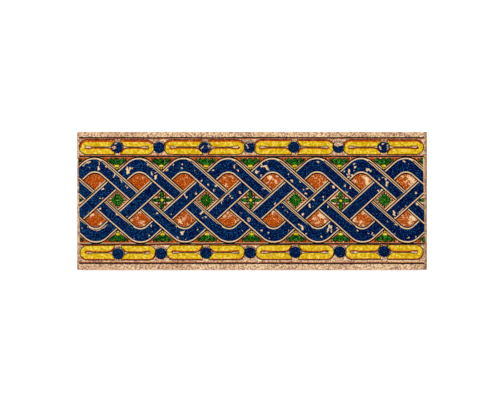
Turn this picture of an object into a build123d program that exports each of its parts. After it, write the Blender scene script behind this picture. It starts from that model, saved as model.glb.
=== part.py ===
# Stair riser tile: one pressed and fired slab, lying on its back with the decorated face up.
# X runs along the step, Y up the riser, Z out of the face. Millimetres.
# The origin is at the middle of the back, on the surface that the tile rests on.
import os

from build123d import *

# Outline of the slab
tile_length = 380.0
tile_height = 150.0
tile_thickness = 10.0

# Edges: the plan corners, the arris round the face and the one round the back
corner_radius = 0.8
face_arris = 0.6
back_arris = 0.4

# Key grooves pressed into the back, so that the adhesive grips
key_margin = 12.0
key_width = 7.0
key_depth = 0.8
key_pitch = 14.0
key_draft = 20.0

key_length = tile_length - 2 * key_margin
key_count = int((tile_height - 2 * key_margin - key_width) // key_pitch) + 1

with BuildPart() as riser_tile:
    # The slab, from its outline with slightly rounded corners
    with BuildSketch():
        RectangleRounded(tile_length, tile_height, corner_radius)
    extrude(amount=tile_thickness)
    fillet(riser_tile.faces().sort_by(Axis.Z)[-1].edges(), radius=face_arris)
    chamfer(riser_tile.faces().sort_by(Axis.Z)[0].edges(), length=back_arris)

    # The key grooves, with drafted walls and round ends, inside a plain margin
    with BuildSketch():
        with GridLocations(0, key_pitch, 1, key_count):
            SlotOverall(key_length, key_width)
    extrude(amount=key_depth, taper=key_draft, mode=Mode.SUBTRACT)

riser_tile.part.label = "riser_tile"

os.makedirs("parts", exist_ok=True)
export_step(riser_tile.part, "parts/riser_tile.step")
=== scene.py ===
# Stair riser tile, dressed. The fired slab comes from the frame, and the painted glazes lie on
# its face as low pads. Sizes are millimetres from the middle of the face, Y up the riser.
import math

import bmesh
import bpy
from mathutils import Matrix, Vector, noise


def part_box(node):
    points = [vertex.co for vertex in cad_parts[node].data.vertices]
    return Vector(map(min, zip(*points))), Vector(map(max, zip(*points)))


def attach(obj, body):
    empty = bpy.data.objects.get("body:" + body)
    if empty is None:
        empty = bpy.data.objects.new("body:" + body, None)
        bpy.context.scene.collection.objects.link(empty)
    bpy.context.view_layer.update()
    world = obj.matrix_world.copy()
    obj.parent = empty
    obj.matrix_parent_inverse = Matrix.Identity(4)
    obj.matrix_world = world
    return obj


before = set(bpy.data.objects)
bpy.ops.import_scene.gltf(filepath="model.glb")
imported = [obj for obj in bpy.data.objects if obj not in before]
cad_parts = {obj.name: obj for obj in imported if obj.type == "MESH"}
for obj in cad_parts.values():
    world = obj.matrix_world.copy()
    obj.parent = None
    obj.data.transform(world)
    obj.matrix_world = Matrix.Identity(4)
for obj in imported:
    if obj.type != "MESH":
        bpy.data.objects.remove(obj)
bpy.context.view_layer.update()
mm = 0.001
tileLow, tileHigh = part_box("riser_tile")
faceHeight = tileHigh.z / mm
print("frame loaded, face of the tile at", round(faceHeight, 2), "mm")

# The painted field, and how the hand wandered as it drew
field = {
    "left": -187.7,       # ends of the decoration
    "right": 186.8,
    "plaitHalf": 47.0,    # the plait and its pale slip go this far up and down
    "skew": 0.018,        # the low half of the plait sits a little to the right
    "wave": 34.0,         # length of the hand's slow waver
    "waver": 0.35,        # and how far it goes
    "seed": 5,            # fixes the waver, so that each run draws the same
    "sameSpot": 0.01,     # points of an outline closer than this are one
    "onCut": 0.0001,      # points closer than this to a cut lie on it
    "sunk": 0.15,         # how deep every glaze is seated in the face
}

# How far each glaze stands proud of the face, and the width of its rounded edge. No two are level, because
# faces in one plane would flicker where they cross.
pads = {
    "blue_bands": (0.28, 0.2),
    "ochre_cells": (0.2, 0.15),
    "green_leaves": (0.24, 0.15),
    "yellow_buds": (0.34, 0.15),
    "drawn_lines": (0.23, 0.1),
    "fine_lines": (0.215, 0.08),
    "yellow_reels": (0.26, 0.12),
    "blue_beads": (0.42, 0.2),
}

noise.seed_set(field["seed"])


# Drawing tools

def drawShape(bm, start, moves):
    # pen outline: (x, y) is a straight stroke to there, (x, y, turn, steps) an arc round x, y
    before = set(bm.verts)
    tip = bm.verts.new((start[0], start[1], 0))
    for move in moves:
        if len(move) == 2:
            tip = bmesh.ops.extrude_vert_indiv(bm, verts=[tip])["verts"][0]
            tip.co = (move[0], move[1], 0)
        else:
            turned = bmesh.ops.spin(bm, geom=[tip], cent=(move[0], move[1], 0), axis=(0, 0, 1),
                                    angle=math.radians(move[2]), dvec=(0, 0, 0), steps=move[3])
            tip = [item for item in turned["geom_last"] if isinstance(item, bmesh.types.BMVert)][0]
    drawn = [vert for vert in bm.verts if vert not in before]
    bmesh.ops.remove_doubles(bm, verts=drawn, dist=field["sameSpot"])
    return list(dict.fromkeys(edge for vert in bm.verts if vert not in before for edge in vert.link_edges))


def roundLoop(bm, count, shape):
    # closed loop from a circle, each point moved to where the formula puts its angle
    made = bmesh.ops.create_circle(bm, cap_ends=False, segments=count, radius=1)
    for vert in made["verts"]:
        x, y = shape(math.atan2(vert.co.y, vert.co.x))
        vert.co = (x, y, 0)
    return list(dict.fromkeys(edge for vert in made["verts"] for edge in vert.link_edges))


def fillLoops(bm, edges):
    # fills an outline, and leaves open a loop that lies inside it
    made = bmesh.ops.triangle_fill(bm, use_beauty=True, use_dissolve=False, edges=edges,
                                   normal=(0, 0, 1))
    return [item for item in made["geom"] if isinstance(item, bmesh.types.BMFace)]


def stamp(target, stencil, places):
    # repeats a flat stencil in a piece, once at each place
    sheet = bpy.data.meshes.new("stencil")
    stencil.to_mesh(sheet)
    for place in places:
        count = len(target.verts)
        target.from_mesh(sheet)
        target.verts.ensure_lookup_table()
        bmesh.ops.transform(target, matrix=place, verts=target.verts[count:])
    bpy.data.meshes.remove(sheet)


def keepSide(bm, point, direction):
    # cuts along a line and keeps what lies on the side that the direction points to
    bmesh.ops.bisect_plane(bm, geom=bm.verts[:] + bm.edges[:] + bm.faces[:], dist=field["onCut"],
                           plane_co=(point[0], point[1], 0), plane_no=(direction[0], direction[1], 0),
                           clear_inner=True)


def trimToField(bm):
    keepSide(bm, (field["left"], 0), (1, 0))
    keepSide(bm, (field["right"], 0), (-1, 0))


def handWaver(bm):
    for vert in bm.verts:
        sway = noise.noise_vector(vert.co / field["wave"]) * field["waver"]
        vert.co.x += sway.x - field["skew"] * vert.co.y * (abs(vert.co.y) < field["plaitHalf"])
        vert.co.y += sway.y


def makePiece(name, bm, materials):
    # flat shapes become low pads of glaze with a rounded upper edge, seated a little in the face
    proud, lip = pads[name]
    handWaver(bm)
    bmesh.ops.recalc_face_normals(bm, faces=bm.faces)
    bmesh.ops.reverse_faces(bm, faces=[face for face in bm.faces if face.normal.z < 0])
    grown = bmesh.ops.extrude_face_region(bm, geom=bm.faces[:])
    tops = [item for item in grown["geom"] if isinstance(item, bmesh.types.BMFace)]
    topVerts = [item for item in grown["geom"] if isinstance(item, bmesh.types.BMVert)]
    bmesh.ops.translate(bm, verts=topVerts, vec=(0, 0, field["sunk"] + proud))
    bmesh.ops.recalc_face_normals(bm, faces=bm.faces)
    topSet = set(tops)
    rim = [edge for edge in dict.fromkeys(edge for face in tops for edge in face.edges)
           if sum(face in topSet for face in edge.link_faces) == 1]
    bmesh.ops.bevel(bm, geom=rim, offset=lip, offset_type="OFFSET", affect="EDGES", segments=2,
                    profile=0.5, material=-1, clamp_overlap=True)
    bmesh.ops.translate(bm, verts=bm.verts, vec=(0, 0, faceHeight - field["sunk"]))
    bmesh.ops.scale(bm, verts=bm.verts, vec=(mm, mm, mm))
    mesh = bpy.data.meshes.new(name)
    bm.to_mesh(mesh)
    bm.free()
    for material in materials:
        mesh.materials.append(material)
    piece = bpy.data.objects.new(name, mesh)
    bpy.context.scene.collection.objects.link(piece)
    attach(piece, "root")
    print(name, len(mesh.polygons), "faces")
    return piece


# Materials

def linearColour(code):
    # sRGB hex to the linear values that the shader takes
    parts = [int(code[i:i + 2], 16) / 255 for i in (1, 3, 5)]
    return [p / 12.92 if p <= 0.04045 else ((p + 0.055) / 1.055) ** 2.4 for p in parts] + [1.0]


def addNode(tree, kind, inputs=None, stops=None, **settings):
    # one node with its settings; a socket among the inputs is linked, anything else is set
    node = tree.nodes.new(kind)
    for key, value in settings.items():
        setattr(node, key, value)
    for key, value in (inputs or {}).items():
        if isinstance(value, bpy.types.NodeSocket):
            tree.links.new(value, node.inputs[key])
        else:
            node.inputs[key].default_value = value
    if stops:
        ramp = node.color_ramp.elements
        while len(ramp) < len(stops):
            ramp.new(0.5)
        for element, (place, code) in zip(ramp, stops):
            element.position = place
            element.color = linearColour(code)
    return node


def grain(size):
    # noise scale for grains of that many millimetres
    return 1 / (size * mm)


def newMaterial(name):
    material = bpy.data.materials.new(name)
    material.use_nodes = True
    tree = material.node_tree
    tree.nodes.clear()
    shader = addNode(tree, "ShaderNodeBsdfPrincipled")
    addNode(tree, "ShaderNodeOutputMaterial", {"Surface": shader.outputs["BSDF"]})
    coords = addNode(tree, "ShaderNodeTexCoord").outputs["Object"]
    return material, tree, shader, coords


clay = {
    "grit": 1.5,          # size of the sandy specks, coarser than real grit so that they show
    "gritTones": [(0.36, "#8c6c72"), (0.44, "#d2a47c"), (0.53, "#ecc38f"), (0.64, "#fee2b4")],
    "patch": 22.0,        # size of the warmer and greyer patches
    "patchTones": [(0.35, "#e6dcdc"), (0.6, "#ffffff")],
    # tint from the left edge of the tile to the right, by share of its length: a little darker at the left
    # edge, darker at the right edge
    "endTones": [(0.0, "#e9e4ea"), (0.007, "#ffffff"), (0.99, "#ffffff"), (0.994, "#cfbfb6")],
    "slip": 0.8,          # how much the pale slip under the plait covers
    "slipColour": "#ffd9a4",
    "endSpeck": 1.7,         # size of the dark specks at the right end
    "endSpeckStart": 1.0,    # how far past the decoration they start
    "endSpeckFrom": 0.52,    # noise at which a speck begins, and at which it is full
    "endSpeckTo": 0.64,
    "endSpeckCover": 0.8,    # how much a full speck hides
    "endSpeckColour": "#6e564c",
    "rough": 0.85,
    "shine": 0.15,
    "bump": 0.4,
    "bumpDeep": 0.3,
}
everyGlaze = {
    "strayGrain": 1.7,    # grain of the straying colour, against the specks of the glaze
    "strayFrom": 0.5,     # noise at which it begins, and at which it is full
    "strayTo": 0.75,
    "strayCover": 0.9,
    "bump": 0.5,
    "bumpDeep": 0.2,
}


def clayColour(tree, coords):
    # buff body with violet-grey and pale grit, a little greyer in patches
    grit = addNode(tree, "ShaderNodeTexNoise", {"Vector": coords, "Scale": grain(clay["grit"]),
                                                "Detail": 1.0, "Roughness": 0.5})
    speck = addNode(tree, "ShaderNodeValToRGB", {"Fac": grit.outputs["Fac"]},
                    stops=clay["gritTones"])
    patch = addNode(tree, "ShaderNodeTexNoise", {"Vector": coords, "Scale": grain(clay["patch"]),
                                                 "Detail": 3.0})
    tint = addNode(tree, "ShaderNodeValToRGB", {"Fac": patch.outputs["Fac"]},
                   stops=clay["patchTones"])
    body = addNode(tree, "ShaderNodeMix", {0: 1.0, 6: speck.outputs["Color"], 7: tint.outputs["Color"]},
                   data_type="RGBA", blend_type="MULTIPLY")
    # the ends are darker, and the plait was painted on a paler slip
    place = addNode(tree, "ShaderNodeSeparateXYZ", {0: coords})
    rightward = addNode(tree, "ShaderNodeMapRange", {"Value": place.outputs["X"], "From Min": tileLow.x,
                                                     "From Max": tileHigh.x})
    ends = addNode(tree, "ShaderNodeValToRGB", {"Fac": rightward.outputs["Result"]}, stops=clay["endTones"])
    endTinted = addNode(tree, "ShaderNodeMix", {0: 1.0, 6: body.outputs[2], 7: ends.outputs["Color"]},
                     data_type="RGBA", blend_type="MULTIPLY")
    upAndDown = addNode(tree, "ShaderNodeMath", {0: place.outputs["Y"]}, operation="ABSOLUTE")
    slipY = addNode(tree, "ShaderNodeMath", {0: upAndDown.outputs[0], 1: field["plaitHalf"] * mm},
                    operation="LESS_THAN")
    leftAndRight = addNode(tree, "ShaderNodeMath", {0: place.outputs["X"]}, operation="ABSOLUTE")
    slipX = addNode(tree, "ShaderNodeMath", {0: leftAndRight.outputs[0], 1: field["right"] * mm},
                    operation="LESS_THAN")
    slip = addNode(tree, "ShaderNodeMath", {0: slipX.outputs[0], 1: slipY.outputs[0]}, operation="MULTIPLY")
    cover = addNode(tree, "ShaderNodeMath", {0: slip.outputs[0], 1: clay["slip"]}, operation="MULTIPLY")
    ground = addNode(tree, "ShaderNodeMix", {0: cover.outputs[0], 6: endTinted.outputs[2],
                                             7: linearColour(clay["slipColour"])}, data_type="RGBA")
    return ground.outputs[2], grit.outputs["Fac"]


def firedClay():
    # Unglazed pressed earthenware: dull, buff, sandy to the eye
    material, tree, shader, coords = newMaterial("fired_clay")
    colour, grit = clayColour(tree, coords)
    # dark specks past the right end of the decoration, that darken the strip at the edge
    endSpeck = addNode(tree, "ShaderNodeTexNoise", {"Vector": coords, "Scale": grain(clay["endSpeck"]),
                                                 "Detail": 1.0})
    specks = addNode(tree, "ShaderNodeMapRange", {"Value": endSpeck.outputs["Fac"],
                                                  "From Min": clay["endSpeckFrom"],
                                                  "From Max": clay["endSpeckTo"],
                                                  "To Max": clay["endSpeckCover"]})
    place = addNode(tree, "ShaderNodeSeparateXYZ", {0: coords})
    endSpeckLine = (field["right"] + clay["endSpeckStart"]) * mm
    atEnd = addNode(tree, "ShaderNodeMath", {0: place.outputs["X"], 1: endSpeckLine}, operation="GREATER_THAN")
    endSpecked = addNode(tree, "ShaderNodeMath", {0: specks.outputs["Result"], 1: atEnd.outputs[0]},
                    operation="MULTIPLY")
    endDarkened = addNode(tree, "ShaderNodeMix", {0: endSpecked.outputs[0], 6: colour,
                                              7: linearColour(clay["endSpeckColour"])}, data_type="RGBA")
    bump = addNode(tree, "ShaderNodeBump", {"Height": grit, "Strength": clay["bump"],
                                            "Distance": clay["bumpDeep"] * mm})
    tree.links.new(endDarkened.outputs[2], shader.inputs["Base Color"])
    tree.links.new(bump.outputs["Normal"], shader.inputs["Normal"])
    shader.inputs["Roughness"].default_value = clay["rough"]
    shader.inputs["Specular IOR Level"].default_value = clay["shine"]
    return material


def bareSpots(tree, coords, strokes, ragged, reach, soft):
    # 1 where a chip of glaze is gone: short strokes given in a list, with torn edges
    tear = addNode(tree, "ShaderNodeTexNoise", {"Vector": coords, "Scale": grain(ragged), "Detail": 2.0,
                                                "Roughness": 0.6})
    even = addNode(tree, "ShaderNodeVectorMath", {0: tear.outputs["Color"], 1: (0.5, 0.5, 0.5)},
                   operation="SUBTRACT")
    torn = addNode(tree, "ShaderNodeVectorMath", {0: even.outputs[0], 1: (reach * mm,) * 3, 2: coords},
                   operation="MULTIPLY_ADD")
    flat = addNode(tree, "ShaderNodeVectorMath", {0: torn.outputs[0], 1: (1, 1, 0)}, operation="MULTIPLY")
    deepest = None
    for stroke in strokes:
        ends = [Vector((stroke[0], stroke[1], 0)) * mm, Vector((stroke[-3], stroke[-2], 0)) * mm]
        # an oval about the two ends: the two distances add up to its full length
        inside = math.hypot((ends[1] - ends[0]).length, 2 * stroke[-1] * mm)
        for end in ends:
            away = addNode(tree, "ShaderNodeVectorMath", {0: flat.outputs[0], 1: end}, operation="DISTANCE")
            inside = addNode(tree, "ShaderNodeMath", {0: inside, 1: away.outputs["Value"]},
                             operation="SUBTRACT").outputs[0]
        if deepest:
            inside = addNode(tree, "ShaderNodeMath", {0: deepest, 1: inside},
                             operation="MAXIMUM").outputs[0]
        deepest = inside
    edge = addNode(tree, "ShaderNodeMapRange", {"Value": deepest, "From Min": -soft * mm,
                                                "From Max": soft * mm})
    return edge.outputs["Result"]


def wornGlaze(name, look):
    # Lead glaze fired over clay: glassy where it is whole, speckled, and rubbed through to the body in
    # places
    material, tree, shader, coords = newMaterial(name)
    body = clayColour(tree, coords)[0]
    speck = addNode(tree, "ShaderNodeTexNoise", {"Vector": coords, "Scale": grain(look["speck"]),
                                                 "Detail": 1.0, "Roughness": 0.5})
    rightward = addNode(tree, "ShaderNodeMapRange", {
        "Value": addNode(tree, "ShaderNodeSeparateXYZ", {0: coords}).outputs["X"],
        "From Min": field["left"] * mm, "From Max": field["right"] * mm})
    # the tone is lifted towards the left end, or lowered there when the value is negative; on the cobalt
    # the lift is partly a painted sheen from the light on the left
    lift = addNode(tree, "ShaderNodeMath", {0: rightward.outputs["Result"], 1: -look["leftTone"],
                                            2: look["leftTone"]}, operation="MULTIPLY_ADD")
    tone = addNode(tree, "ShaderNodeMath", {0: speck.outputs["Fac"], 1: lift.outputs[0]}, operation="ADD")
    pure = addNode(tree, "ShaderNodeValToRGB", {"Fac": tone.outputs[0]}, stops=look["stops"])
    # the colour strays a little from speck to speck
    strayScale = grain(look["speck"] * everyGlaze["strayGrain"])
    stray = addNode(tree, "ShaderNodeTexNoise", {"Vector": coords, "Scale": strayScale, "Detail": 1.0})
    strayed = addNode(tree, "ShaderNodeMapRange", {"Value": stray.outputs["Fac"],
                                                   "From Min": everyGlaze["strayFrom"],
                                                   "From Max": everyGlaze["strayTo"],
                                                   "To Max": everyGlaze["strayCover"]})
    glaze = addNode(tree, "ShaderNodeMix", {0: strayed.outputs["Result"], 6: pure.outputs["Color"],
                                            7: linearColour(look["stray"])}, data_type="RGBA")
    # flecks rubbed bare, more of them to the right
    rub = addNode(tree, "ShaderNodeTexNoise", {"Vector": coords, "Scale": grain(look["fleck"]),
                                               "Detail": 3.0, "Roughness": 0.6})
    rubbed = addNode(tree, "ShaderNodeMath", {0: rightward.outputs["Result"], 1: look["moreRight"],
                                              2: rub.outputs["Fac"]}, operation="MULTIPLY_ADD")
    fleck = addNode(tree, "ShaderNodeMapRange", {"Value": rubbed.outputs[0], "From Min": look["bareFrom"],
                                                 "From Max": look["bareFrom"] + look["soft"]})
    bare = fleck.outputs["Result"]
    if look["spots"]:
        chips = bareSpots(tree, coords, look["spots"], look["tear"], look["ragged"], look["chipSoft"])
        bare = addNode(tree, "ShaderNodeMath", {0: bare, 1: chips}, operation="MAXIMUM").outputs[0]
    colour = addNode(tree, "ShaderNodeMix", {0: bare, 6: glaze.outputs[2], 7: body}, data_type="RGBA")
    rough = addNode(tree, "ShaderNodeMapRange", {"Value": bare, "To Min": look["rough"],
                                                 "To Max": clay["rough"]})
    whole = addNode(tree, "ShaderNodeMath", {0: bare, 1: -1.0, 2: speck.outputs["Fac"]},
                    operation="MULTIPLY_ADD")
    bump = addNode(tree, "ShaderNodeBump", {"Height": whole.outputs[0], "Strength": everyGlaze["bump"],
                                            "Distance": everyGlaze["bumpDeep"] * mm})
    tree.links.new(colour.outputs[2], shader.inputs["Base Color"])
    tree.links.new(rough.outputs["Result"], shader.inputs["Roughness"])
    tree.links.new(bump.outputs["Normal"], shader.inputs["Normal"])
    shader.inputs["Specular IOR Level"].default_value = look["shine"]
    return material


# Chips, as strokes of two ends and a half width, or as one point and a radius
blueChips = [
    (-166, 43, -166, 38, 0.6), (-166.8, 37, -166.7, 34, 1.0), (-184, 37.5, -179.5, 41.5, 0.55),
    (-179.5, 41.8, -175, 42.8, 0.45), (-176.3, 36.3, 0.5), (-150.6, 26.3, -149, 28.6, 0.7),
    (-143, 24.5, -141.8, 20, 0.55), (-137.3, 16, 0.6), (-135, 15, 0.75), (-155, 34.3, 0.55),
    (-158, 37, 0.6), (-136, 37.5, -135.2, 33, 0.9), (-135, 33, -134.8, 29.6, 1.5),
    (-132.2, 37, -133.2, 32.5, 0.9), (-131.5, 35.3, -128.6, 35.9, 0.6), (-109.6, 31.5, -108.4, 27, 0.7),
    (-104, 28, -105.2, 23, 1.2), (-105, 30, -104.6, 31, 0.5), (-113.3, 39.3, 0.7),
    (-114, 39.5, -109, 36, 0.35), (-163.5, 11.8, -160.5, 13.5, 0.85), (-165.3, 2.3, 0.85),
    (-162.3, 3.3, 0.8), (-165.3, -8.8, -164.3, -7, 0.9), (-177.3, -12, 0.5),
    (-147, -15, -146, -13.3, 0.75), (-149.3, -11, 0.55), (-103.3, -13.3, 0.95), (-184.3, -30.3, 0.7),
    (-109.3, -27, 0.7), (-111.7, -37.3, 0.8), (-108.3, -33.7, 0.5), (-136.3, -17.7, 0.45),
    (-133.7, -19.3, 0.5), (-128.3, -40.7, 0.5), (-179, -27.5, -170, -32, 0.4),
    (-170, -32, -164, -31.3, 0.4), (-164, -31, -157, -25.8, 0.4), (-85.3, 38.7, 0.8),
    (-93, 33.3, -91, 34.3, 0.9), (-75.9, 39.2, -75.3, 41, 0.6), (-76.5, 36, 0.8), (-54.7, 22, 0.85),
    (-47.3, 17.3, 0.65), (-57.7, 18.3, -52.3, 14.3, 0.35), (-40, 16.3, -37, 17, 0.9),
    (-41.7, 11.3, 1.0), (-61, 8.3, 1.1), (-73.3, 7, -72.5, 5, 0.7), (-71.5, 5, -70.8, 3, 1.15),
    (-33, -3, -32.7, 0, 0.6), (-32.5, 0.5, -30.8, 2, 0.5), (-21.7, 2.7, 0.85), (-26.7, 3, 0.45),
    (-23.3, 4.7, 0.5), (-25, 7.7, 0.75), (-13.8, 10.3, -12.2, 7.2, 0.7), (-19.8, 35.5, -19.5, 38, 0.8),
    (-19, 38.5, -18.8, 39.7, 0.5), (-16, 33.7, -15, 32, 0.65), (-42.8, 33.2, -40.8, 33.6, 0.85),
    (-56, -14.3, -53, -10.8, 0.9), (-50.3, -17.7, 0.95), (-53.7, -19, 0.6), (-88, -14.3, 0.7),
    (-53.7, -26.3, 0.8), (-59.3, -30.7, 0.7), (-77.5, -33.3, -76, -36, 1.1),
    (-76, -36, -73.5, -33.3, 0.9), (-75.5, -34, 0.9), (-82, -39, -80, -40, 0.8),
    (-83, -26, -81.5, -27.8, 0.85), (-5, -19, -4.5, -21.5, 0.6), (-4.5, -21.8, -2, -21.8, 0.5),
    (-2, -21.5, -2.5, -18.8, 0.6), (-5, -18.8, -2.6, -18.6, 0.5), (-10.7, -32, 0.7),
    (-11.7, -13.7, 0.5), (-72, -41.7, 0.5), (4.2, 33.3, 5, 29, 0.85), (5.5, 30.8, 7.2, 32.3, 0.7),
    (9.3, 37.6, 13.3, 36.8, 0.9), (13.3, 36.5, 16, 38.7, 1.1), (15, 37, 18.5, 33.5, 0.8),
    (10, 39.3, 0.6), (17.7, 42.7, 0.55), (10, 27.3, 0.7), (11.3, 12.3, 14, 14, 0.5),
    (42.3, 23.5, 44.3, 20.5, 0.65), (52.3, 20.7, 0.85), (39.7, 28.7, 0.65),
    (42.3, 32, 44.3, 30.5, 0.75), (58.5, 12.5, 61.3, 13.3, 1.0), (56, 12.7, 0.6), (57, 8, 60, 7.4, 0.8),
    (66.7, 0.7, 1.0), (61, 3.7, 63.3, 3, 0.5), (62.4, -3, 62.2, -5.5, 0.7),
    (62.5, -5.5, 63.5, -7.5, 0.6), (66.7, -6, 0.6), (77, 4.3, 0.9), (77.7, 1.3, 0.5),
    (54.7, -13.7, 55.3, -15.3, 0.75), (86.5, 16.5, 89, 15.8, 0.6), (88.3, 15.5, 88.5, 13.5, 0.75),
    (33.3, -7, 0.5), (36.3, -10.3, 0.6), (38.3, -11.7, 0.5), (23.5, -4, 25.5, -2.5, 0.6),
    (32.7, -2.3, 0.6), (9, -32.6, 11.5, -31.7, 0.65), (17.7, -34.3, 0.6), (39.7, -32, 0.6),
    (20, -40.3, 0.8), (50.3, -25, 53.5, -27, 0.7), (53.5, -27, 55, -28.5, 1.0),
    (54.8, -28.5, 54.8, -31.5, 0.85), (53, -29.5, 54.5, -30.5, 0.8), (84.3, -26.3, 83.3, -30, 1.2),
    (83, -30, 81.7, -34, 0.85), (86.2, -26.5, 85.6, -29.5, 0.7), (85.6, -29.5, 87.3, -31.3, 0.6),
    (85.8, -32, 86.3, -34, 0.5), (92.3, -28.7, 0.8), (74.2, -38, 76.3, -38.7, 0.6), (59, -35.3, 0.5),
    (71, 44, 72.6, 41, 0.5), (83, -6.7, 0.7), (105.2, 34, 105.4, 31.8, 0.9),
    (105.5, 31, 106, 28.5, 0.7), (103.7, 28.7, 0.7), (107, 27.5, 109.3, 28, 0.65),
    (103, 25.3, 106, 26.2, 0.75), (99.3, 31.3, 101, 32.3, 0.65), (110, 39.5, 111.5, 40.5, 0.85),
    (110.8, 36, 112.8, 36.3, 0.85), (111, 33.3, 0.6), (124, 34.7, 125.5, 33, 0.7),
    (125.5, 33.2, 127.8, 34.2, 0.8), (128, 33.5, 129, 32, 0.5), (137, 24.7, 138.7, 22, 0.7),
    (141.3, 25.3, 143, 25.5, 0.55), (145, 24.5, 145.8, 22.5, 0.85), (146, 21, 146.2, 15.5, 1.2),
    (147.3, 21.5, 147.8, 18.5, 0.5), (155, 18, 0.8), (177, 9.3, 178.5, 7.7, 0.7), (101.3, 16.3, 0.9),
    (106.7, 14, 0.9), (101.7, 10.3, 104, 9, 0.5), (135.7, 11.3, 138, 10.3, 0.75),
    (139.5, 11.8, 141, 13.5, 0.5), (153.5, -11, 154.5, -14, 0.85), (153, -15, 156, -15.8, 0.7),
    (154.3, -18.3, 0.6), (165.3, -8, 158.5, -14, 0.5), (167, -6, 0.6), (179, -3, 1.0),
    (147, -22.3, 0.6), (114, -32.3, 0.9), (126.7, -35, 0.6), (130, -35, 0.6),
    (131, -37, 134, -36.5, 0.55), (170.3, -40.3, 0.9), (155, -35.3, 0.6), (164, 43.3, 166, 42, 0.65),
    (177.7, -38.7, 0.6), (155, -25, 158, -27, 0.5),
    # worn beads
    (-151.2, 58.6, -148.4, 57.5, 1.15), (-150.4, 56.4, 0.8), (-149.5, 62, -146, 63.2, 0.5),
    (-52.5, 59.5, -55, 56.8, 0.75), (-47.6, 61.5, -46.6, 57, 0.6), (-6.2, 61.2, -4.4, 57, 0.95),
    (-5.5, 62.5, 0, 63.2, 0.5), (89.5, 61.9, 98, 61.9, 2.6), (138.4, 60, 139.8, 56, 0.95),
    (141, 61.8, 144, 62.5, 0.6), (147, 61, 147.3, 55.5, 0.5),
]
ochreChips = [
    (-165.5, 19, 1.0), (-119, 25, 0.7), (-74, 24, 0.5), (-29.5, 25, 1.2), (-24, 27.5, -20, 25, 0.8),
    (-28, 16.5, 1.4), (17, 25, 22, 26, 1.9), (25, 22, 28, 20, 1.2), (28, 27, 1.2), (32, 22.5, 1.2),
    (16, 19, 0.9), (79, 20, 1.4), (66, 27, 1.0), (124, 18, 125, 26, 2.2), (112, 21.5, 1.4),
    (121, 26, 1.4), (170, 26, 177, 20, 2.4), (163, 27, 1.4), (172, 18, 1.2),
    (-175, -16.5, -172, -14, 1.3), (-164, -25.5, 1.6), (-122, -12, 1.5), (-131, -21, 1.0),
    (-122, -25, -118, -22, 0.9), (-118, -27, 1.2), (-125, -18, 0.8), (-80, -22, -76, -22.5, 1.8),
    (-75, -21, -71, -16.5, 0.9), (-70, -25, 1.4), (-66, -20, 1.0), (-29, -18, -30, -15, 1.5),
    (-24, -16, 1.4), (-27, -12, 1.2), (-17, -22, 1.4), (23, -12, 1.6), (30, -15, 0.8),
    (72, -15, 78, -18, 2.2), (66, -20, 70, -19, 1.2), (80, -23, 1.8), (70, -24, 74, -23, 1.0),
    (111, -20, 2.2), (118, -23, 1.6), (121, -12.5, 1.4), (121, -27, 1.6), (171, -17, 178, -20, 2.2),
    (170, -22, 173, -25, 1.4), (164, -27, 1.2), (163, -15, 0.9),
    # frames round the squares to the right
    (38, 2, 46, 9.5, 0.9), (49, 8.5, 52, 6, 0.9), (39.5, -2, 44, -6, 0.8), (55, -2, 50, -6, 0.5),
    (135, 2.5, 139, 6, 0.7), (145, 9, 150, 5, 0.6), (137, -3, 141, -6, 0.6), (152, -1.5, 148, -5, 0.6),
]
greenChips = [(-146.1, 0.9, 0.35), (-49.5, 0.9, 0.35), (47.1, 0.9, 0.5), (143.7, 0.9, 0.4)]
yellowChips = [(21, -56, 1.0), (21.5, -59, 0.9), (-113, 62.5, 1.2), (-106, 63.5, 0.9)]

# How each glaze looks: speck and fleck are the sizes of its grain and of its rubbed spots, drawn as coarse
# as they need to be to show; leftTone lifts its tone towards the left end, or lowers it if negative;
# moreRight wears it more to the right; the body shows where the rubbing passes bareFrom, over a soft edge;
# tear and ragged are the size and the reach of the torn edges of its chips.

# Cobalt in lead glaze: deep glassy blue with paler grains
blueLook = {
    # on the cobalt, the lift towards the left end is partly a painted sheen from the light on the left
    "speck": 1.05, "leftTone": 0.03, "fleck": 3.2, "moreRight": 0.0, "bareFrom": 0.735, "soft": 0.02,
    "stops": [(0.34, "#000414"), (0.45, "#000830"), (0.54, "#000e3c"), (0.61, "#001e58"),
              (0.67, "#20699a")],
    "stray": "#0a0e44", "spots": blueChips, "tear": 2.6, "ragged": 5.0, "chipSoft": 0.2,
    "rough": 0.2, "shine": 0.2,
}
# Iron ochre under glaze: burnt orange, grainy, worn to pale patches
ochreLook = {
    "speck": 1.15, "leftTone": -0.025, "fleck": 2.2, "moreRight": 0.075, "bareFrom": 0.675, "soft": 0.04,
    "stops": [(0.36, "#861e00"), (0.46, "#a83a00"), (0.55, "#c25600"), (0.62, "#da7c1c"),
              (0.69, "#f2b878")],
    "stray": "#ae4400", "spots": ochreChips, "tear": 1.6, "ragged": 9.5, "chipSoft": 0.8,
    "rough": 0.3, "shine": 0.15,
}
# Copper in lead glaze: leaf green that pools dark
greenLook = {
    "speck": 1.4, "leftTone": -0.045, "fleck": 4.0, "moreRight": 0.0, "bareFrom": 0.72, "soft": 0.04,
    "stops": [(0.37, "#002200"), (0.47, "#065000"), (0.55, "#287c06"), (0.64, "#468c2c"),
              (0.73, "#80a86a")],
    "stray": "#0c4a10", "spots": greenChips, "tear": 2.0, "ragged": 2.0, "chipSoft": 0.3,
    "rough": 0.25, "shine": 0.3,
}
# Antimony yellow glaze: warm, glossy, a little cloudy
yellowLook = {
    "speck": 2.2, "leftTone": 0.0, "fleck": 5.0, "moreRight": 0.0, "bareFrom": 0.76, "soft": 0.03,
    "stops": [(0.36, "#c89e00"), (0.46, "#e2b906"), (0.55, "#efca2a"), (0.68, "#fade68")],
    "stray": "#dca814", "spots": yellowChips, "tear": 2.4, "ragged": 5.0, "chipSoft": 0.25,
    "rough": 0.25, "shine": 0.3,
}
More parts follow.
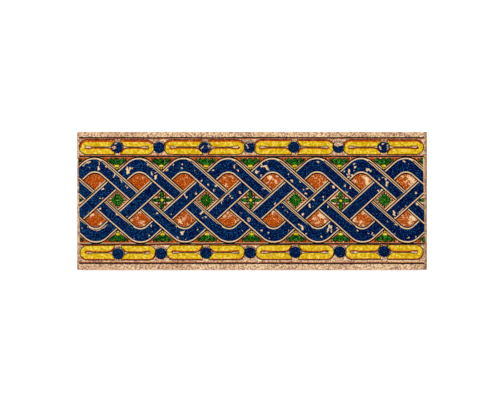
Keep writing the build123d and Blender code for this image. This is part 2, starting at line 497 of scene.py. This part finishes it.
# Ochre brushed over the yellow: rust-coloured shading
burntLook = {
    "speck": 1.9, "leftTone": 0.0, "fleck": 4.0, "moreRight": 0.0, "bareFrom": 0.70, "soft": 0.04,
    "stops": [(0.36, "#962c00"), (0.5, "#bc4600"), (0.66, "#d87018")],
    "stray": "#a43800", "spots": [], "rough": 0.3, "shine": 0.25,
}
# Manganese drawn dry with a brush: matt, nearly black
lineLook = {
    "speck": 1.9, "leftTone": 0.0, "fleck": 3.0, "moreRight": 0.0, "bareFrom": 0.74, "soft": 0.05,
    "stops": [(0.36, "#020008"), (0.55, "#080410"), (0.72, "#241a22")],
    "stray": "#0a0616", "spots": [], "rough": 0.6, "shine": 0.1,
}
clayBody = firedClay()
blueGlaze = wornGlaze("cobalt_glaze", blueLook)
ochreGlaze = wornGlaze("ochre_glaze", ochreLook)
greenGlaze = wornGlaze("copper_green_glaze", greenLook)
yellowGlaze = wornGlaze("yellow_glaze", yellowLook)
burntGlaze = wornGlaze("burnt_ochre_glaze", burntLook)
lineGlaze = wornGlaze("manganese_line", lineLook)
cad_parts["riser_tile"].data.materials.clear()
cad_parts["riser_tile"].data.materials.append(clayBody)
print("materials made")


# The plait: four bands that pass over and under each other

plait = {
    "pitch": 48.3,            # from one loop to the next
    "lean": 41.8,             # degrees between a band and the step
    "glaze": 5.6,             # edge of the blue, from the centre line
    "lineFrom": 6.75,         # the drawn line beside it
    "lineTo": 8.05,
    "topTurn": (15.0, 0.556),    # radius of a turn on its centre line, and more for each mm outside it
    "lowTurn": (14.25, 0.583),
    "wider": 0.45,            # more on the inside of the upper loops
    "lowWider": 0.3,          # and of the lower ones
    "barShift": -0.45,        # middle bands are off their centre line
    # edge of the blue, and both edges of a finer line, where a band runs down to the right
    "topEcho": (3.9, 4.7, 5.8),
    "lowEcho": (4.5, 5.2, 6.2),
    "echoStart": 3.0,         # how far right of the loop's top the finer line starts
    "echoRun": 9.0,           # and how far it takes to part from the drawn line
    "underFrom": 7.9,         # where the blue of a band that goes under stops
    "cellFrom": 8.5,          # where the coloured cells begin
    "middle": (-1.2, 0.9),    # middle of the plait
    "loops": 12,              # more than show, because both ends are trimmed
    "turnSteps": 20,          # steps round a loop
    "step": 6.0,              # length of one step along a straight stretch
    "legSteps": (4, 10),      # steps of a loop's left and right leg, before they are cut
}
lean = math.radians(plait["lean"])
pitch = plait["pitch"]
along = Vector((math.cos(lean), math.sin(lean), 0))      # up to the right
down = Vector((math.cos(lean), -math.sin(lean), 0))      # down to the right
crossRise = math.tan(lean) * pitch / 2                   # from the middle row of crossings to the next
upperRight = Vector((math.sin(lean), math.cos(lean), 0))
upperLeft = Vector((-math.sin(lean), math.cos(lean), 0))
middle = Matrix.Translation((plait["middle"][0], plait["middle"][1], 0))
halfTurn = Matrix.Rotation(math.pi, 4, "Z")
loopPlaces = [middle @ Matrix.Translation(((i - (plait["loops"] - 1) / 2) * pitch, 0, 0))
              for i in range(plait["loops"])]
lowPlaces = [place @ halfTurn for place in loopPlaces]
motifPlaces = [place @ Matrix.Translation((pitch / 2, 0, 0)) for place in loopPlaces[:-1]]


def runStrip(bm, edge, step, count):
    # carries an edge along in equal steps and leaves a strip behind it
    for i in range(count):
        grown = bmesh.ops.extrude_edge_only(bm, edges=[edge])["geom"]
        verts = [item for item in grown if isinstance(item, bmesh.types.BMVert)]
        bmesh.ops.translate(bm, verts=verts, vec=step)
        edges = [item for item in grown if isinstance(item, bmesh.types.BMEdge)]
        edge = [item for item in edges if all(vert in grown for vert in item.verts)][0]


def turnAt(turn, offset):
    # middle and radius of the arc on which a line beside the centre line turns back
    radius = turn[0] + turn[1] * offset
    return Vector((0, 2 * crossRise + (offset - radius) / math.cos(lean), 0)), radius


def loopStrip(inner, outer, cut, turn, narrow=0):
    # one band from where it comes out on the left, round its loop, to where it goes under in the middle;
    # it narrows after the loop, on the outside, or on the inside when that is negative
    bm = bmesh.new()
    hub, radius = turnAt(turn, 0)
    ends = [bm.verts.new(hub + upperLeft * (radius + reach)) for reach in (inner, outer)]
    edge = bm.edges.new(ends)
    turned = bmesh.ops.spin(bm, geom=[edge] + ends, cent=hub, axis=(0, 0, 1), angle=-2 * lean,
                            dvec=(0, 0, 0), steps=plait["turnSteps"])
    last = [item for item in turned["geom_last"] if isinstance(item, bmesh.types.BMEdge)][0]
    runStrip(bm, edge, -along * plait["step"], plait["legSteps"][0])
    runStrip(bm, last, down * plait["step"], plait["legSteps"][1])
    for vert in bm.verts:
        away = vert.co - hub
        angle = math.atan2(away.x, away.y)
        outward = away.normalized()
        if abs(angle) > lean:
            outward = upperRight if angle > 0 else upperLeft
        offset = away.dot(outward) - radius
        # from one hub for both sides to an arc of its own for each
        ownHub, ownRadius = turnAt(turn, offset)
        vert.co += ownHub - hub + outward * (ownRadius - radius - offset)
        if offset * narrow > 0:
            share = (away.x - plait["echoStart"]) / plait["echoRun"]
            vert.co -= outward * narrow * max(0, min(1, share))
    keepSide(bm, Vector((-pitch / 2, crossRise, 0)) + upperRight * cut, upperRight)
    keepSide(bm, Vector((pitch, 0, 0)) + upperLeft * cut, upperLeft)
    return bm


def middleStrip(inner, outer, cut):
    # the short straight band that passes over the middle row of crossings
    bm = bmesh.new()
    start = -along * pitch
    ends = [bm.verts.new(start + upperLeft * reach) for reach in (inner, outer)]
    runStrip(bm, bm.edges.new(ends), along * plait["step"], int(2 * pitch / plait["step"]) + 1)
    crossing = Vector((pitch / 2, crossRise, 0))
    keepSide(bm, -crossing + upperRight * cut, upperRight)
    keepSide(bm, crossing - upperRight * cut, -upperRight)
    return bm


def weave(target, topSpan, lowSpan, barSpan, cut, topNarrow=0, lowNarrow=0):
    # one strip of the plait, as offsets from the centre line of the upper loops, lower loops and bars
    stamp(target, loopStrip(topSpan[0], topSpan[1], cut, plait["topTurn"], topNarrow), loopPlaces)
    stamp(target, loopStrip(lowSpan[0], lowSpan[1], cut, plait["lowTurn"], lowNarrow), lowPlaces)
    shift = plait["barShift"]
    stamp(target, middleStrip(barSpan[0] + shift, barSpan[1] + shift, cut), loopPlaces)


glaze, wider, lowWider = plait["glaze"], plait["wider"], plait["lowWider"]
topEcho, lowEcho = plait["topEcho"], plait["lowEcho"]
bands = bmesh.new()
weave(bands, (-glaze - wider, glaze), (-glaze - lowWider, glaze), (-glaze, glaze), plait["underFrom"],
      glaze - topEcho[0], lowEcho[0] - glaze - lowWider)
trimToField(bands)
makePiece("blue_bands", bands, [blueGlaze])

outlines = bmesh.new()
outerLine = (plait["lineFrom"], plait["lineTo"])
innerLine = (-plait["lineTo"], -plait["lineFrom"])
weave(outlines, outerLine, outerLine, outerLine, plait["lineTo"])
weave(outlines, (innerLine[0] - wider, innerLine[1] - wider),
      (innerLine[0] - lowWider, innerLine[1] - lowWider), innerLine, plait["lineTo"])

# the finer second line, on the upper right side of the bands that run down to the right
fineLines = bmesh.new()
for inner, outer, turn, places in ((topEcho[1], topEcho[2], plait["topTurn"], loopPlaces),
                                   (-lowEcho[2], -lowEcho[1], plait["lowTurn"], lowPlaces)):
    echo = loopStrip(inner, outer, plait["lineTo"], turn)
    keepSide(echo, (plait["echoStart"] + plait["echoRun"] / 2, 0), (1, 0))
    stamp(fineLines, echo, places)


# Ruled lines that part the plait from its borders

rules = {
    # Y of the dark lines at their left and right ends, and of the ochre lines beside them
    "dark": [(68.6, 68.6), (48.2, 48.2), (-46.9, -46.3), (-67.8, -67.8)],
    "warm": [(67.3, 67.3), (49.5, 49.5), (-48.0, -47.5), (-66.6, -66.6)],
    "darkWidth": 1.45,
    "warmWidth": 0.7,
    "steps": 60,
}


def ruleStrip(target, heights, width):
    half = width / 2
    ends = [target.verts.new((field["left"], heights[0] + side, 0)) for side in (-half, half)]
    run = Vector((field["right"] - field["left"], heights[1] - heights[0], 0))
    runStrip(target, target.edges.new(ends), run / rules["steps"], rules["steps"])


for heights in rules["dark"]:
    ruleStrip(outlines, heights, rules["darkWidth"])


# Coloured cells between the bands

cells = {
    "margin": 0.3,            # bare clay round the ochre frame in the middle cells
    "ring": 1.15,             # width of that frame
    "closer": 0.5,            # how much closer the upper cells go to the band on their lower left
    "peakSteps": 10,          # steps in the rounded top of a cell
    "greenReach": 7.6,        # half the green square, corner to corner
    "teeth": 0.17,            # depth of its teeth, as a share of that
    "shoulder": 42.6,         # the palmette's widest line, up from the middle of the plait
    "palmetteHalf": 9.9,
    "palmetteTop": 2.2,       # how far its lobes rise above that line
    "palmetteDepth": 5.2,     # and how far it hangs below
    "palmetteGap": 0.9,       # from the palmette to the ochre ground
    "outline": 0.85,          # drawn line round the leaves
    "squareLine": 1.0,        # and round the squares
    "budLine": 0.8,           # and round the buds
    "topLine": 46.3,          # upper edge of the spandrel
    "fork": 9.3,              # its lower end, from the bands on both sides
    "overlap": 0.1,           # how far it goes under the drawn line of the loops
    "firstTurn": 80,          # degrees up the loop at which it starts
    "vein": (1.6, 0.6),       # dark veins that run in from between the lobes
    "veinTurns": (36, 72, 108, 144),
    "veinShare": 0.93,        # how far out along the palmette they sit
    "veinBelow": 0.5,         # and how far under the shoulder
    "veinMeet": 5.0,          # they point to where the lobes meet, this far down
    # the two buds under a palmette: distance under the first one, and half the width and height
    "buds": ((0, 2.7, 1.25), (-2.6, 1.0, 0.8)),
    "budBelow": 0.4,          # from the palmette's lower edge to the middle of the first bud
}
flower = {
    # leaves: the way they point, the distance of their middle, and half the length and width
    "leaves": ((0, 5.6, 4.5, 1.45), (180, 5.6, 4.5, 1.45), (90, 5.2, 4.1, 1.85), (270, 5.2, 4.1, 1.85)),
    "heart": 1.5,
    "patch": (0.85, 2.6),     # ochre at the sides of the cell, and its distance from the heart
    "patchAt": 7.0,
    "stamenIn": (1.3, 0.45),  # inner and outer edge of the line round a stamen
    "stamenOut": (2.65, 1.85),
    "stamenAt": 4.1,
    "offPlace": (0.9, -0.5),  # one flower was painted off its place
}
smooth = {"oval": 24, "bead": 32, "leaf": 40, "palmette": 120, "square": 160}    # points round each edge
cellHalfX = pitch / 2 - plait["cellFrom"] / math.sin(lean)
cellHalfY = crossRise - plait["cellFrom"] / math.cos(lean)


def roundedCell(turn, wider, closer):
    # ochre cell under a loop: a diamond with its top corner rounded as the loop is; its lower left side
    # goes closer to the band
    bm = bmesh.new()
    radius = turnAt(turn, -plait["cellFrom"] - wider)[1]
    slide = along * closer
    loop = drawShape(bm, (cellHalfX, 0), [(0, cellHalfY), (-cellHalfX - slide.x, -slide.y),
                                          (-slide.x, -cellHalfY - slide.y), (cellHalfX, 0)])
    bmesh.ops.edgeloop_fill(bm, edges=loop)
    peak = max(bm.verts, key=lambda vert: vert.co.y)
    bmesh.ops.bevel(bm, geom=[peak], offset=radius * math.tan(lean), offset_type="OFFSET",
                    affect="VERTICES", segments=cells["peakSteps"], profile=0.5, material=-1)
    bmesh.ops.translate(bm, verts=bm.verts, vec=(0, crossRise, 0))
    return bm


def diamond(bm, x, y):
    return drawShape(bm, (x, 0), [(0, y), (-x, 0), (0, -y), (x, 0)])


def cellRing():
    bm = bmesh.new()
    loops = []
    for shrink in (cells["margin"], cells["margin"] + cells["ring"]):
        loops += diamond(bm, cellHalfX - shrink / math.sin(lean), cellHalfY - shrink / math.cos(lean))
    fillLoops(bm, loops)
    return bm


def palmetteEdge(grow):
    # five lobes along the top, tapering sides with smaller lobes below
    def edge(angle):
        across, rise = math.cos(angle), math.sin(angle)
        x = (cells["palmetteHalf"] + grow) * across
        if rise >= 0:
            lobe = 0.1 + 0.9 * abs(math.sin(5 * angle)) ** 0.7
            y = 0.2 + cells["palmetteTop"] * lobe * rise ** 0.2 + grow
        else:
            taper = min(1, 1.3 * (1 - abs(across)))
            lobe = 0.5 * abs(math.sin(6 * angle)) - 0.5
            y = -(cells["palmetteDepth"] + lobe + grow) * taper - 0.3 * grow
        return x, y + cells["shoulder"]
    return edge


def spandrel():
    # ochre ground between two loops and the ruled line, open where the palmette goes
    bm = bmesh.new()
    hub, reach = turnAt(plait["topTurn"], plait["lineTo"] - cells["overlap"])
    loopY = hub.y
    firstTurn = cells["firstTurn"]
    legTurn = 90 - plait["lean"]
    angle = math.radians(firstTurn)
    x = -pitch / 2 + reach * math.cos(angle)
    y = loopY + reach * math.sin(angle)
    leg = math.radians(legTurn)
    rightFoot = (pitch / 2 - reach * math.cos(leg), loopY + reach * math.sin(leg))
    outer = drawShape(bm, (x, y), [(-pitch / 2, loopY, legTurn - firstTurn, 5),
                                   (0, crossRise + cells["fork"] / math.cos(lean)),
                                   rightFoot,
                                   (pitch / 2, loopY, legTurn - firstTurn, 5),
                                   (-x, cells["topLine"]), (x, cells["topLine"]), (x, y)])
    inner = roundLoop(bm, smooth["palmette"], palmetteEdge(cells["palmetteGap"]))
    fillLoops(bm, outer + inner)
    return bm


def squareEdge(grow):
    # square on its corner with a toothed edge
    def edge(angle):
        side = abs(math.cos(angle)) + abs(math.sin(angle))
        reach = cells["greenReach"] / side * (1 + cells["teeth"] * math.cos(16 * angle)) + grow
        return reach * math.cos(angle), reach * math.sin(angle)
    return edge


def leafEdge(halfX, halfY):
    # pointed at both ends
    def edge(angle):
        return halfX * math.cos(angle), halfY * math.sin(angle) * abs(math.sin(angle)) ** 0.3
    return edge


def ovalEdge(halfX, halfY):
    def edge(angle):
        return halfX * math.cos(angle), halfY * math.sin(angle)
    return edge


def blob(shapes, count=smooth["oval"]):
    # one filled loop, or the ring between two
    bm = bmesh.new()
    loops = []
    for shape in shapes:
        loops += roundLoop(bm, count, shape)
    fillLoops(bm, loops)
    return bm


def shifted(x, y, turn=0.0):
    return Matrix.Translation((x, y, 0)) @ Matrix.Rotation(math.radians(turn), 4, "Z")


# every second middle cell holds a green square, the ones between hold a flower
squarePlaces = motifPlaces[0::2]
flowerPlaces = motifPlaces[1::2]
flowerPlaces[3] = flowerPlaces[3] @ shifted(*flower["offPlace"])
bothEnds = motifPlaces + [place @ halfTurn for place in motifPlaces]

ochre = bmesh.new()
stamp(ochre, roundedCell(plait["topTurn"], wider, cells["closer"]), loopPlaces)
stamp(ochre, roundedCell(plait["lowTurn"], lowWider, 0), lowPlaces)
stamp(ochre, cellRing(), squarePlaces)
stamp(ochre, spandrel(), bothEnds)
for sideX in (-1, 1):
    for sideY in (-1, 1):
        normal = math.degrees(math.atan2(sideY * math.cos(lean), sideX * math.sin(lean)))
        inCell = Matrix.Rotation(math.radians(normal), 4, "Z")
        patchPlaces = [place @ inCell @ shifted(flower["patchAt"], 0) for place in flowerPlaces]
        stamp(ochre, blob([ovalEdge(*flower["patch"])]), patchPlaces)
        # stamens: bare clay with a drawn line round it
        stamenPlaces = [place @ inCell @ shifted(flower["stamenAt"], 0) for place in flowerPlaces]
        stamen = blob([ovalEdge(*flower["stamenIn"]), ovalEdge(*flower["stamenOut"])])
        stamp(fineLines, stamen, stamenPlaces)
trimToField(ochre)
for heights in rules["warm"]:
    ruleStrip(ochre, heights, rules["warmWidth"])
makePiece("ochre_cells", ochre, [ochreGlaze])

green = bmesh.new()
stamp(green, blob([palmetteEdge(0)], smooth["palmette"]), bothEnds)
palmetteLine = blob([palmetteEdge(0), palmetteEdge(cells["outline"])], smooth["palmette"])
stamp(fineLines, palmetteLine, bothEnds)
stamp(green, blob([squareEdge(0)], smooth["square"]), squarePlaces)
squareLine = blob([squareEdge(0), squareEdge(cells["squareLine"])], smooth["square"])
stamp(fineLines, squareLine, squarePlaces)
for turn, reach, halfX, halfY in flower["leaves"]:
    leafPlaces = [place @ Matrix.Rotation(math.radians(turn), 4, "Z") @ shifted(reach, 0)
                  for place in flowerPlaces]
    grow = cells["outline"]
    leaf = leafEdge(halfX, halfY)
    stamp(green, blob([leaf], smooth["leaf"]), leafPlaces)
    stamp(outlines, blob([leaf, leafEdge(halfX + grow, halfY + grow)], smooth["leaf"]), leafPlaces)
trimToField(green)
makePiece("green_leaves", green, [greenGlaze])

budY = cells["shoulder"] - cells["palmetteDepth"] - cells["budBelow"]
buds = bmesh.new()
for y, halfX, halfY in cells["buds"]:
    budPlaces = [place @ shifted(0, budY + y) for place in bothEnds]
    stamp(buds, blob([ovalEdge(halfX, halfY)]), budPlaces)
    ring = ovalEdge(halfX + cells["budLine"], halfY + cells["budLine"])
    stamp(outlines, blob([ovalEdge(halfX, halfY), ring]), budPlaces)
stamp(buds, blob([ovalEdge(flower["heart"], flower["heart"])]), flowerPlaces)
for turn in cells["veinTurns"]:
    veinX = cells["palmetteHalf"] * math.cos(math.radians(turn)) * cells["veinShare"]
    veinY = cells["shoulder"] - cells["veinBelow"]
    vein = blob([ovalEdge(*cells["vein"])])
    for face in vein.faces:
        face.material_index = 1
    lead = math.degrees(math.atan2(cells["veinMeet"], veinX))
    stamp(buds, vein, [place @ shifted(veinX, veinY, lead) for place in bothEnds])
trimToField(buds)
makePiece("yellow_buds", buds, [yellowGlaze, lineGlaze])

trimToField(outlines)
makePiece("drawn_lines", outlines, [lineGlaze])
trimToField(fineLines)
makePiece("fine_lines", fineLines, [lineGlaze])


# Borders: long reels, split by a slot, with beads in their middles and between them

reels = {
    "half": 8.4,              # half the height of a reel
    "lip": 0.1,               # half the slot where it is narrow
    "bulb": 0.9,              # half the slot at its bulb
    "bulbFrom": 14.8,         # bulb, back from the end of the reel
    "bulbTo": 7.1,
    "bulbRise": 3.0,          # over which the slot widens
    "line": 0.9,              # drawn line round the reel
    "slotLine": 0.65,         # and round its slot
    "slotShade": 1.15,        # burnt shading along the slot
    "bead": 6.0,
    "beadLine": (6.3, 6.85),  # drawn ring round a bead
    "ringShift": (0.3, 0.4),  # the ring sits a little off the bead, up to the right
    "litFrom": 0.2,           # how squarely a side must face the light to be shaded
    "top": {
        "light": Vector((-0.3, 0.95, 0)),    # side that the shading is on
        "gaps": {-1: 2.2, 1: 3.5},           # from the middle of the bead to the corner of the reel
        "reelY": (58.4, 58.4),               # from the left end of the row to the right
        "beadY": (58.3, 58.3),
        "between": [-100.8, -2.6, 93.7],
        # left end, bead and right end of each reel, and the width of the burnt shading on its outside
        "spans": [(-188.2, -146.7, -105.7, 2.0), (-96.0, -51.5, -7.6, 1.7), (1.6, 45.4, 89.6, 1.3),
                  (98.3, 142.7, 186.7, 1.7)],
    },
    "low": {
        "light": Vector((0.3, -0.95, 0)),
        "gaps": {-1: 3.4, 1: 3.1},
        "reelY": (-56.5, -55.6),
        "beadY": (-57.8, -54.3),
        "between": [-98.9, -2.0, 95.5],
        "spans": [(-187.2, -145.2, -103.8, 1.1), (-93.4, -50.0, -7.1, 1.0), (3.3, 46.8, 89.6, 0.8),
                  (100.7, 143.5, 186.4, 0.9)],
    },
}


def reelOutline(bm, length, gap, outer, inner):
    # right half of a reel, its bead at the origin, drawn in by so much outside and along the slot
    half, lip, bulb = reels["half"], reels["lip"], reels["bulb"]
    bend = gap + half - lip
    radius = half - lip - inner
    turn = math.degrees(math.acos(outer / radius))
    tipX = bend - radius * math.sin(math.radians(turn))
    top = half - outer
    slot = lip + inner
    wide = bulb + inner
    bulbFrom = length - reels["bulbFrom"]
    bulbFull = bulbFrom + reels["bulbRise"]
    bulbTo = length - reels["bulbTo"] - bulb
    return drawShape(bm, (tipX, top), [
        (length - half, top), (length - half, 0, -180, 24), (tipX, -top), (bend, -half, -turn, 10),
        (bulbFrom, -slot), (bulbFull, -wide), (bulbTo, -wide), (bulbTo, 0, 180, 16),
        (bulbFull, wide), (bulbFrom, slot), (bend, slot), (bend, half, -turn, 10)])


def halfReel(length, gap, flip, shade, light):
    # drawn line all round, then burnt ochre on the sides that face the light, then yellow
    bm = bmesh.new()
    line, slotLine = reels["line"], reels["slotLine"]
    edges = [reelOutline(bm, length, gap, *shrink)
             for shrink in ((0, 0), (line, slotLine), (line + shade, slotLine + reels["slotShade"]))]
    bmesh.ops.scale(bm, verts=bm.verts, vec=(flip, 1, 1))
    for face in fillLoops(bm, edges[0] + edges[1]):
        face.material_index = 2
    rims = set(edges[1])
    for face in fillLoops(bm, edges[1] + edges[2]):
        # the shading goes by where the triangle's side on a loop faces
        sides = [edge for edge in face.edges if edge in rims or edge in edges[2]]
        if not sides:
            continue
        side = sides[0]
        run = side.verts[1].co - side.verts[0].co
        outward = Vector((run.y, -run.x, 0)).normalized()
        fromSide = face.calc_center_median() - (side.verts[0].co + side.verts[1].co) / 2
        if (outward.dot(fromSide) > 0) == (side in rims):
            outward = -outward
        face.material_index = 1 if outward.dot(light) > reels["litFrom"] else 0
    fillLoops(bm, edges[2])
    return bm


def alongRow(span, x):
    # height of a row at x, from its values at the two ends
    share = (x - field["left"]) / (field["right"] - field["left"])
    return span[0] + (span[1] - span[0]) * share


yellow = bmesh.new()
beads = bmesh.new()
beadShape = blob([ovalEdge(reels["bead"], reels["bead"])], smooth["bead"])
beadRing = blob([ovalEdge(radius, radius) for radius in reels["beadLine"]], smooth["bead"])
for face in beadRing.faces:
    face.material_index = 1
for row in (reels["top"], reels["low"]):
    for left, bead, right, shade in row["spans"]:
        for length, flip in ((right - bead, 1), (bead - left, -1)):
            half = halfReel(length, row["gaps"][flip], flip, shade, row["light"])
            stamp(yellow, half, [shifted(bead, alongRow(row["reelY"], bead))])
    for x in [span[1] for span in row["spans"]] + row["between"]:
        y = alongRow(row["beadY"], x)
        stamp(beads, beadShape, [shifted(x, y)])
        stamp(beads, beadRing, [shifted(x + reels["ringShift"][0], y + reels["ringShift"][1])])
makePiece("yellow_reels", yellow, [yellowGlaze, burntGlaze, lineGlaze])
makePiece("blue_beads", beads, [blueGlaze, lineGlaze])


# Floor, light and camera

studio = {
    "viewWidth": 542.9,       # width of the picture at the face
    "viewMiddle": (-2.2, 1.0),
    "distance": 2600.0,
    "sensor": 36.0,
    "floorHalf": 15.0,        # metres
    "floorColour": "#e8e8e8",
    "floorGlow": 0.6,         # what the eye sees on top of the floor's own colour, so that it is white
    "wallTones": [(0.25, "#f4f4f4"), (0.6, "#202020")],    # pale at the sides, dark overhead
    # soft boxes: place and size in metres, and watts
    "lamps": (("left_box", (-1.7, 0.5, 1.5), 1.4, 40), ("right_box", (1.7, 0.3, 1.5), 1.4, 33)),
}

floorMesh = bmesh.new()
bmesh.ops.create_grid(floorMesh, x_segments=1, y_segments=1, size=studio["floorHalf"])
floorData = bpy.data.meshes.new("floor")
floorMesh.to_mesh(floorData)
floorMesh.free()
floor = bpy.data.objects.new("floor", floorData)
bpy.context.scene.collection.objects.link(floor)
# Matt white background paper: even, without a highlight
paper, paperTree, paperShader = newMaterial("white_paper")[:3]
paperShader.inputs["Base Color"].default_value = linearColour(studio["floorColour"])
paperShader.inputs["Roughness"].default_value = 0.9
paperShader.inputs["Specular IOR Level"].default_value = 0.1
rays = addNode(paperTree, "ShaderNodeLightPath")
seen = addNode(paperTree, "ShaderNodeMath", {0: rays.outputs["Is Camera Ray"],
                                             1: rays.outputs["Is Glossy Ray"]}, operation="MAXIMUM")
seenThrough = addNode(paperTree, "ShaderNodeMath", {0: seen.outputs[0],
                                                    1: rays.outputs["Is Transmission Ray"]},
                      operation="MAXIMUM")
glow = addNode(paperTree, "ShaderNodeMath", {0: seenThrough.outputs[0], 1: studio["floorGlow"]},
               operation="MULTIPLY")
paperShader.inputs["Emission Color"].default_value = (1, 1, 1, 1)
paperTree.links.new(glow.outputs[0], paperShader.inputs["Emission Strength"])
floorData.materials.append(paper)

world = bpy.data.worlds.new("studio")
bpy.context.scene.world = world
world.use_nodes = True
sky = world.node_tree
sky.nodes.clear()
direction = addNode(sky, "ShaderNodeTexCoord").outputs["Generated"]
height = addNode(sky, "ShaderNodeSeparateXYZ", {"Vector": direction}).outputs["Z"]
walls = addNode(sky, "ShaderNodeValToRGB", {"Fac": height}, stops=studio["wallTones"])
backdrop = addNode(sky, "ShaderNodeBackground", {"Color": walls.outputs["Color"], "Strength": 1.0})
addNode(sky, "ShaderNodeOutputWorld", {"Surface": backdrop.outputs["Background"]})


def softBox(name, place, size, power):
    lamp = bpy.data.lights.new(name, "AREA")
    lamp.shape = "SQUARE"
    lamp.size = size
    lamp.energy = power
    box = bpy.data.objects.new(name, lamp)
    box.location = place
    box.rotation_euler = Vector(place).to_track_quat("Z", "Y").to_euler()
    bpy.context.scene.collection.objects.link(box)


for lampName, place, size, power in studio["lamps"]:
    softBox(lampName, place, size, power)

camera = bpy.data.cameras.new("camera")
camera.sensor_width = studio["sensor"]
camera.sensor_fit = "HORIZONTAL"
camera.lens = studio["sensor"] * studio["distance"] / studio["viewWidth"]
cameraObject = bpy.data.objects.new("camera", camera)
cameraObject.location = (studio["viewMiddle"][0] * mm, studio["viewMiddle"][1] * mm,
                         (faceHeight + studio["distance"]) * mm)
bpy.context.scene.collection.objects.link(cameraObject)
bpy.context.scene.camera = cameraObject
bpy.context.scene.view_settings.view_transform = "Standard"
print("stage, lamps and camera set")
